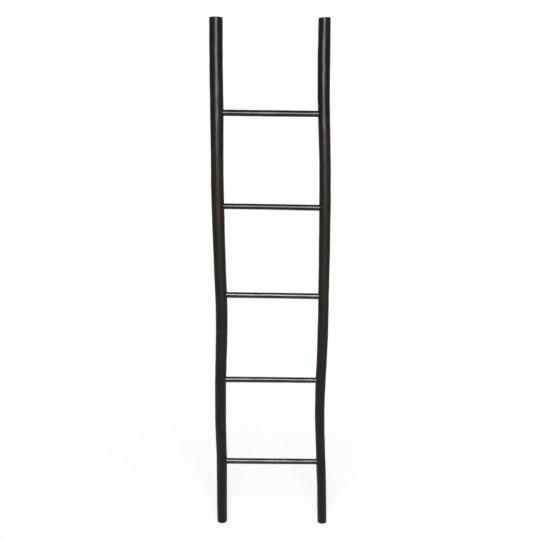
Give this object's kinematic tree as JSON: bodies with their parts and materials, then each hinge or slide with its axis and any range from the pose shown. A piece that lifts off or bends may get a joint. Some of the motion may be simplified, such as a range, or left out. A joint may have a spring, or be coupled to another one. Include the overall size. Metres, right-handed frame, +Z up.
{
  "type": "blanket ladder",
  "caption": "Leaning ladder of two gently bent natural poles joined by evenly spaced round rungs, for hanging blankets and throws; black stained wood.",
  "frame": {"origin": "on the floor, at the middle of the ladder's box", "axes": "+Z up the ladder, +X to the right as seen from the front, +Y to the back, towards the wall"},
  "size_m": [0.4252, 0.0497, 1.8],
  "materials": {
    "stained_wood": "satin black-brown stain over peeled wood",
    "pin_steel": "steel wire, its rear end set just under the back of the pole"
  },
  "bodies": {
    "root": {"left_stile": "stained_wood", "right_stile": "stained_wood", "rung_1": "stained_wood", "rung_2": "stained_wood", "rung_3": "stained_wood", "rung_4": "stained_wood", "rung_5": "stained_wood", "rung_1_left_pin": "pin_steel", "rung_1_right_pin": "pin_steel", "rung_2_left_pin": "pin_steel", "rung_2_right_pin": "pin_steel", "rung_3_left_pin": "pin_steel", "rung_3_right_pin": "pin_steel", "rung_4_left_pin": "pin_steel", "rung_4_right_pin": "pin_steel", "rung_5_left_pin": "pin_steel", "rung_5_right_pin": "pin_steel"}
  },
  "joints": []
}
